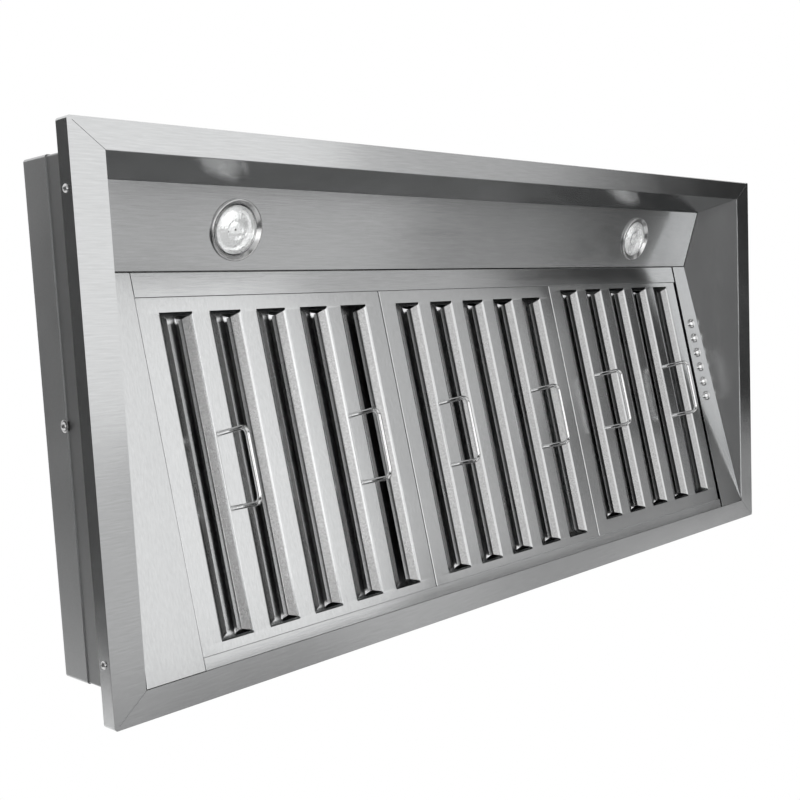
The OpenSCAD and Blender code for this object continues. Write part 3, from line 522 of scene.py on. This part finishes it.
def spun(profile, steps=96):
    """A closed profile of (radius, height) points turned about Z."""
    bm = bmesh.new()
    ring = [bm.verts.new((r, 0, z)) for r, z in profile]
    edges = [bm.edges.new((ring[k - 1], ring[k])) for k in range(len(ring))]
    bmesh.ops.spin(bm, geom=ring + edges, cent=(0, 0, 0), axis=(0, 0, 1), angle=2 * math.pi,
                   steps=steps)
    bmesh.ops.remove_doubles(bm, verts=bm.verts, dist=touching)
    bmesh.ops.recalc_face_normals(bm, faces=bm.faces)
    return bm


def arc(r, z, radius, start, end, n):
    """Points of an arc in a profile, from one angle in degrees to another."""
    angles = [math.radians(start + (end - start) * k / n) for k in range(n + 1)]
    return [(r + radius * math.cos(a), z + radius * math.sin(a)) for a in angles]


ring_profile = ([(0.0315, 0.0), (0.0315, -0.0018)] + arc(0.0303, -0.0018, 0.0012, 0, -120, 6)
                + arc(0.0250, 0.0014, 0.0012, -39, 0, 3)
                + [(0.0262, 0.0118), (0.0276, 0.0118), (0.0276, 0.0)])
cup_profile = [(0.0247, 0.0024), (0.0225, 0.0050), (0.0190, 0.0056), (0.0150, 0.0044),
               (0.0112, 0.0030), (0.0105, 0.0048), (0.0080, 0.0036), (0.0045, 0.0028),
               (0.0012, 0.0025), (0.0012, 0.0135), (0.0112, 0.0135), (0.0247, 0.0062)]
for side, x in (("left", -lamp_x), ("right", lamp_x)):
    place = on_panel @ Matrix.Translation((x, lamp_up, 0))
    piece(spun(ring_profile), side + "_lamp_ring", "hood", [side + "_lamp_trim"], satin_chrome,
          place, [even_shading])
    piece(spun(cup_profile, 30), side + "_lamp_cup", "hood", [side + "_lamp_reflector"], mirror,
          place, smooth=False)


# Screws with a cross recess

head_r, head_h, dome_r = 0.0038, 0.0024, 0.00475
shank_r, shank_l = 0.002, 0.006
washer_r, washer_t = 0.006, 0.0008
cross_arm, cross_half_w = 0.00195, 0.00044
cross_notch = 0.6
cross_corners = 24
recess_floor, recess_tip = 0.0010, 0.0006


def dome(r):
    return head_h - dome_r + math.sqrt(dome_r * dome_r - r * r)


def recess_outline(size):
    """The corners of a cross, as radius and angle."""
    arm, wide = cross_arm * size, cross_half_w * size
    notch = arm * cross_notch
    tip, side = math.atan2(wide, arm), math.atan2(wide, notch)
    one_arm = [(math.hypot(arm, wide), -tip), (arm, 0), (math.hypot(arm, wide), tip),
               (math.hypot(notch, wide), side), (wide * math.sqrt(2), quarter / 2),
               (math.hypot(notch, wide), quarter - side)]
    return [(r, a + k * quarter) for k in range(4) for r, a in one_arm]


def add_screw(bm, place, washer):
    """A pan-head screw along +Z with its seat at zero, joined to the mesh."""
    level = washer_t if washer else 0.0
    circles = [(shank_r, -shank_l), (shank_r, 0)]
    if washer:
        circles += [(washer_r, 0), (washer_r, washer_t)]
    circles += [(head_r - 0.0001, level), (head_r, level + 0.0002),
                (head_r, level + (dome(head_r) - 0.0001))]
    circles += [(r, level + dome(r)) for r in (0.0036, 0.0032, 0.0027)]
    first = -math.atan2(cross_half_w, cross_arm)
    plain = [k * quarter / 6 + first for k in range(cross_corners)]
    rings = [[(r, a, z) for a in plain] for r, z in circles]

    cross = recess_outline(1)
    angles = [a for r, a in cross]
    rings.append([(r, a, level + dome(r)) for r, a in cross])
    rings.append([(r, a, level + dome(r) - 0.0001)
                  for (r, b), a in zip(recess_outline(0.96), angles)])
    rings.append([(r, a, level + recess_floor)
                  for (r, b), a in zip(recess_outline(0.55), angles)])

    made = [[bm.verts.new(place @ Vector((r * math.cos(a), r * math.sin(a), z)))
             for r, a, z in ring] for ring in rings]
    for low, high in zip(made, made[1:]):
        for k in range(cross_corners):
            bm.faces.new((low[k - 1], low[k], high[k], high[k - 1]))
    bm.faces.new(made[0][::-1])
    bottom = bm.verts.new(place @ Vector((0, 0, level + recess_tip)))
    for k in range(cross_corners):
        bm.faces.new((made[-1][k - 1], made[-1][k], bottom))


def islands(bm):
    """The mesh's separate parts, each a list of vertices, in the mesh's own order."""
    left = set(bm.verts)
    for first in bm.verts:
        if first not in left:
            continue
        left.remove(first)
        island, todo = [], [first]
        while todo:
            v = todo.pop()
            island.append(v)
            for e in v.link_edges:
                other = e.other_vert(v)
                if other in left:
                    left.remove(other)
                    todo.append(other)
        yield island


def screw_places(node):
    """The outer ends of a CAD node's screws, each with the way it points out of the hood."""
    bm = bmesh.new()
    bm.from_mesh(nodes[node].data)
    bmesh.ops.remove_doubles(bm, verts=bm.verts, dist=touching)
    places = []
    for island in islands(bm):
        low = Vector([min(v.co[k] for v in island) for k in range(3)])
        high = Vector([max(v.co[k] for v in island) for k in range(3)])
        middle, size = (low + high) / 2, high - low
        axis = 0 if abs(size.y - size.z) < 1e-4 else 1
        out = Vector((0, 0, 0))
        out[axis] = math.copysign(1, middle[axis])
        middle[axis] = high[axis] if out[axis] > 0 else low[axis]
        places.append((middle, out))
    bm.free()
    return places


for node, washer in (("frame_screws", False), ("shell_screws", True)):
    bm = bmesh.new()
    for n, (end, out) in enumerate(screw_places(node)):
        seat = end - out * (head_h + (washer_t if washer else 0))
        outwards = out.to_track_quat("Z", "Y").to_matrix().to_4x4()
        driven = Matrix.Rotation(0.4 + 0.9 * n, 4, "Z")
        add_screw(bm, Matrix.Translation(seat) @ outwards @ driven, washer)
    bmesh.ops.recalc_face_normals(bm, faces=bm.faces)
    piece(bm, node + "_cross_head", "hood", [node], screw_steel, None, [even_shading])


# Finishes of the pieces that keep the CAD's own shape

finishes = {
    "blower_box_screws": screw_steel,
    "left_lamp_lens": lens_glass, "right_lamp_lens": lens_glass,
    "left_lamp_body": lamp_casting, "right_lamp_body": lamp_casting,
    "switch_block": switch_plastic, "control_box": zinc, "control_box_cover": zinc,
    "control_board": board_green, "terminal_block": terminal_plastic,
    "blower_scroll": zinc, "motor": motor_paint, "motor_bracket": zinc,
    "run_capacitor": capacitor_shell, "fan_wheel": zinc, "fan_shaft": screw_steel,
    "duct_collar": zinc, "damper_rod": screw_steel,
    "left_damper_flap": zinc, "right_damper_flap": zinc,
}
for side in sides:
    finishes[side + "_filter_handles"] = chrome
    finishes[side + "_filter_nuts"] = screw_steel
for k in range(1, 7):
    finishes["button_%d" % k] = chrome
for name, mat in finishes.items():
    mesh = nodes[name].data
    mesh.materials.clear()
    mesh.materials.append(mat)


# Floor, light and camera

floor_z = -1.75
mat_z = floor_z + 0.02
lamp_z = floor_z + 0.05


def studio_sheet(name, size, place, tone, seen=True):
    """A staged sheet. One that isn't seen shows in the steel only, and shades nothing."""
    bm = bmesh.new()
    bmesh.ops.create_grid(bm, x_segments=1, y_segments=1, size=1)
    bmesh.ops.scale(bm, vec=(size[0] / 2, size[1] / 2, 1), verts=bm.verts)
    bmesh.ops.transform(bm, matrix=place, verts=bm.verts)
    mesh = bpy.data.meshes.new(name)
    bm.to_mesh(mesh)
    bm.free()
    mesh.materials.append(material(name, (tone, tone, tone), 0.0, 0.7)[0])
    obj = bpy.data.objects.new(name, mesh)
    bpy.context.scene.collection.objects.link(obj)
    if not seen:
        obj.visible_camera = obj.visible_diffuse = False
        obj.visible_shadow = obj.visible_transmission = False


def floor_mat(name, size, x, y, tone):
    """A dark mat on the floor for the steel to mirror."""
    studio_sheet(name, size, Matrix.Translation((x, y, mat_z)), tone, False)


def upright_card(name, x, y, wide, z0, z1, tone, turn=0.0):
    """A studio wall beside the hood for the steel to mirror, square to X or turned about Z."""
    place = Matrix.Translation((x, y, (z0 + z1) / 2)) @ Matrix.Rotation(turn, 4, "Z")
    studio_sheet(name, (z1 - z0, wide), place @ Matrix.Rotation(quarter, 4, "Y"), tone, False)


def floor_lamp(name, x0, x1, y0, y1, glow):
    """A flat lamp low over the floor, facing up at the hood; a glow of 1 mirrors as white."""
    data = bpy.data.lights.new(name, "AREA")
    data.shape = "RECTANGLE"
    data.size, data.size_y = x1 - x0, y1 - y0
    data.energy = glow * math.pi * (x1 - x0) * (y1 - y0)
    obj = bpy.data.objects.new(name, data)
    middle = ((x0 + x1) / 2, (y0 + y1) / 2, lamp_z)
    obj.matrix_world = Matrix.Translation(middle) @ Matrix.Rotation(math.pi, 4, "X")
    obj.visible_camera = False
    bpy.context.scene.collection.objects.link(obj)


def white_surround():
    """A white world: plain to the camera, in glass and in steel, softer where it lights."""
    world = bpy.data.worlds.new("surround")
    world.use_nodes = True
    tree = world.node_tree
    plain = tree.nodes["Background"]
    seen = tree.nodes.new("ShaderNodeBackground")
    for background, strength in ((plain, 0.75), (seen, 1.0)):
        background.inputs["Color"].default_value = (1, 1, 1, 1)
        background.inputs["Strength"].default_value = strength
    rays = tree.nodes.new("ShaderNodeLightPath").outputs
    direct = maths(tree, "MAXIMUM", rays["Is Camera Ray"], rays["Is Transmission Ray"])
    direct = maths(tree, "MAXIMUM", direct, rays["Is Glossy Ray"])
    mix = tree.nodes.new("ShaderNodeMixShader")
    for k, value in enumerate((direct, plain.outputs[0], seen.outputs[0])):
        tree.links.new(value, mix.inputs[k])
    tree.links.new(mix.outputs[0], tree.nodes["World Output"].inputs["Surface"])
    bpy.context.scene.world = world


def photo_camera():
    """The camera that took the photo, from its focal length and middle point in pixels."""
    picture, focal, middle_x, middle_y = 800, 1126.3844, 414.2678, 437.5903
    data = bpy.data.cameras.new("camera")
    data.sensor_width = 36
    data.lens = focal * 36 / picture
    data.shift_x = (picture / 2 - middle_x) / picture
    data.shift_y = (middle_y - picture / 2) / picture
    right = Vector((0.68889277, 0.04669183, -0.72335788))
    down = Vector((-0.11366329, 0.99253651, -0.04418072))
    ahead = Vector((0.71589622, 0.11265502, 0.68905838))
    place = Matrix((right, -down, -ahead)).transposed().to_4x4()
    place.translation = (-1.07716581, -0.09044566, -0.85204689)
    obj = bpy.data.objects.new("camera", data)
    obj.matrix_world = place
    bpy.context.scene.collection.objects.link(obj)
    bpy.context.scene.camera = obj


studio_sheet("studio_floor", (160, 160), Matrix.Translation((0, 0, floor_z)), 0.88)
floor_mat("dark_mat", (5.9, 3.4), 1.95, -0.05, 0.025)
floor_mat("left_mat", (3.2, 2.2), -2.6, 1.5, 0.04)
upright_card("left_card_low", -4.2, 0, 5, floor_z, 0.6, 0.22)
upright_card("left_card_high", -4.2, 0, 5, 0.6, 10.2, 0.055)
upright_card("right_card", 4.8, 0.75, 4.9, floor_z, 2.5, 0.02)
upright_card("rear_card", 2.8, 3.2, 4.2, floor_z, 0.4, 0.24, quarter)

# Each lamp's reach in x and y on the floor, and its glow
floor_lamps = {
    "main_lamp": (-0.2, 1.35, -1.1, 0.2, 1.12),
    "flap_lamp": (-0.75, -0.2, -1.0, 0.0, 1.65),
    "right_lamp": (1.35, 2.5, -1.2, -0.4, 0.6),
    "far_right_lamp": (2.5, 3.3, -0.42, -0.3, 0.08),
    "front_edge_lamp": (2.5, 2.98, -0.85, -0.42, 0.3),
    "middle_lamp": (1.35, 2.25, -0.4, 0.05, 0.6),
    "middle_right_lamp": (2.25, 2.75, -0.4, 0.05, 0.2),
    "rail_lamp": (1.35, 3.45, 0.05, 0.2, 0.45),
    "end_lamp": (2.75, 3.5, -0.25, 0.05, 0.38),
    "handle_lamp": (-1.95, -0.95, -0.3, 0.7, 1.2),
    "corner_lamp": (3.78, 4.3, 0.55, 0.84, 0.4),
    "inner_lamp": (-0.5, -0.1, 0.1, 0.5, 1.5),
    "left_edge_lamp": (0.2, 0.6, 0.2, 0.45, 0.72),
    "rear_left_lamp": (0.2, 0.55, 0.45, 0.85, 0.67),
    "rear_left_corner_lamp": (0.2, 0.55, 0.85, 1.2, 0.46),
    "rear_soft_lamp": (0.55, 0.95, 0.45, 0.85, 0.62),
    "rear_lamp": (0.95, 1.9, 0.45, 0.85, 0.66),
    "rear_mid_lamp": (1.9, 2.8, 0.45, 0.85, 0.34),
    "rear_edge_lamp": (0.55, 1.25, 0.85, 1.2, 0.36),
    "rear_edge_mid_lamp": (1.25, 1.9, 0.85, 1.2, 0.6),
    "rear_edge_right_lamp": (1.9, 2.8, 0.85, 1.2, 0.46),
    "rear_right_lamp": (2.8, 4.2, 0.84, 1.2, 0.6),
    "panel_right_lamp": (2.8, 3.15, 0.45, 0.78, 0.2),
    "panel_end_lamp": (3.66, 3.78, 0.45, 0.78, 0.85),
    "left_lamp": (-3.0, -2.0, -0.9, 0.9, 1.3),
}
for name, row in floor_lamps.items():
    floor_lamp(name, *row)
white_surround()
photo_camera()
bpy.context.scene.view_settings.view_transform = "Standard"
